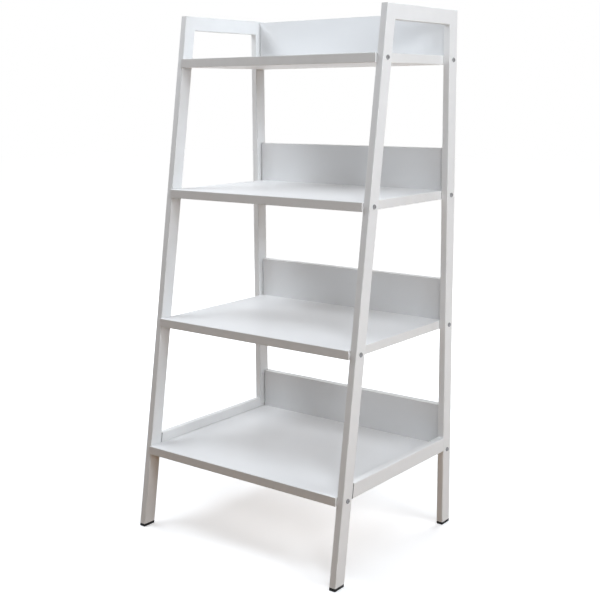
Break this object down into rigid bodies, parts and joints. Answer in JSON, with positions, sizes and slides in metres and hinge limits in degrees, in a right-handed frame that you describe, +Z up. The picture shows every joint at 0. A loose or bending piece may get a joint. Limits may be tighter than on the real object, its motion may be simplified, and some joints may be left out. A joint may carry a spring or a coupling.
{
  "type": "ladder shelving unit",
  "caption": "Free-standing ladder shelving unit: raked side frames of rectangular steel tube carry stepped white boards with low back boards.",
  "frame": {"origin": "centre of the object's box, on the floor", "axes": "+X to the right seen from the front, +Y to the rear, +Z up"},
  "size_m": [0.5356, 0.4299, 1.1],
  "materials": {
    "frame_coat": "satin white powder coat",
    "weld_seam": "coated weld seam, in shade",
    "foot_plastic": "moulded black plastic",
    "board_face": "white melamine facing on particle board",
    "edge_band": "satin white plastic edge band",
    "bolt_steel": "zinc-plated steel",
    "insert_zinc": "zinc alloy",
    "dowel_wood": "bare beech",
    "screw_zinc": "zinc-plated steel"
  },
  "bodies": {
    "root": {"rear_leg_left": "frame_coat", "front_leg_left": "frame_coat", "top_rail_left": "frame_coat", "bottom_rail_left": "frame_coat", "rail_weld_left": "weld_seam", "rear_foot_left": "foot_plastic", "front_foot_left": "foot_plastic", "rear_leg_right": "frame_coat", "front_leg_right": "frame_coat", "top_rail_right": "frame_coat", "bottom_rail_right": "frame_coat", "rail_weld_right": "weld_seam", "rear_foot_right": "foot_plastic", "front_foot_right": "foot_plastic", "bottom_shelf": "board_face", "bottom_shelf_edging": "edge_band", "bottom_shelf_bolts": "bolt_steel", "bottom_shelf_inserts": "insert_zinc", "bottom_back_board": "board_face", "bottom_back_board_edging": "edge_band", "bottom_back_board_dowels": "dowel_wood", "bottom_back_board_screws": "screw_zinc", "lower_shelf": "board_face", "lower_shelf_edging": "edge_band", "lower_shelf_bolts": "bolt_steel", "lower_shelf_inserts": "insert_zinc", "lower_back_board": "board_face", "lower_back_board_edging": "edge_band", "lower_back_board_dowels": "dowel_wood", "lower_back_board_screws": "screw_zinc", "upper_shelf": "board_face", "upper_shelf_edging": "edge_band", "upper_shelf_bolts": "bolt_steel", "upper_shelf_inserts": "insert_zinc", "upper_back_board": "board_face", "upper_back_board_edging": "edge_band", "upper_back_board_dowels": "dowel_wood", "upper_back_board_screws": "screw_zinc", "top_shelf": "board_face", "top_shelf_edging": "edge_band", "top_shelf_bolts": "bolt_steel", "top_shelf_inserts": "insert_zinc", "top_back_board": "board_face", "top_back_board_edging": "edge_band", "top_back_board_dowels": "dowel_wood", "top_back_board_screws": "screw_zinc"}
  },
  "joints": []
}
